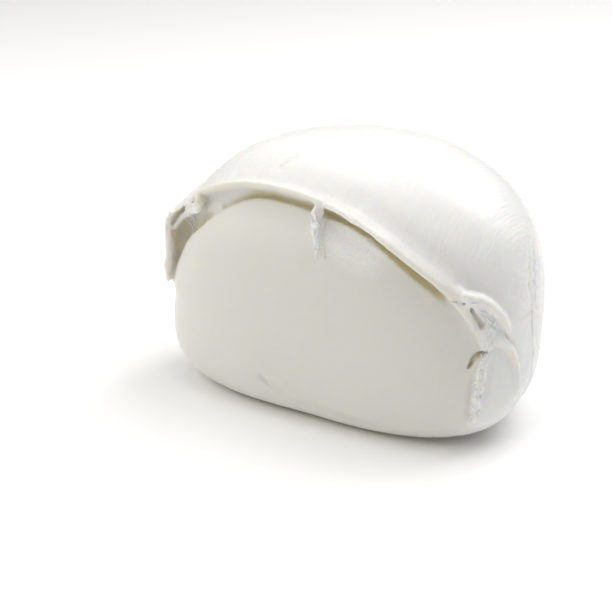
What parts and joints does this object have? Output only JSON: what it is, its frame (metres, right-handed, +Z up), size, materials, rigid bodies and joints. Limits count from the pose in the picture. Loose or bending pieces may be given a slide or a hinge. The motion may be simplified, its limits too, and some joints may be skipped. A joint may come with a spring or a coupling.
{
  "type": "mozzarella ball",
  "caption": "Whole hand-torn mozzarella ball with a rolled lip of skin over its smooth face, resting on a small flat foot.",
  "frame": {"origin": "bottom centre of the bounding box, on the plane of the flat foot that the ball rests on", "axes": "+X along the ball, to the right of someone facing its smooth face; -Y the way that face looks; +Z up"},
  "size_m": [0.0954, 0.0648, 0.0626],
  "materials": {
    "curd": "moist porcelain-white stretched curd, translucent, with a wet satin shine"
  },
  "bodies": {
    "root": {"mozzarella_ball": "curd"}
  },
  "joints": []
}
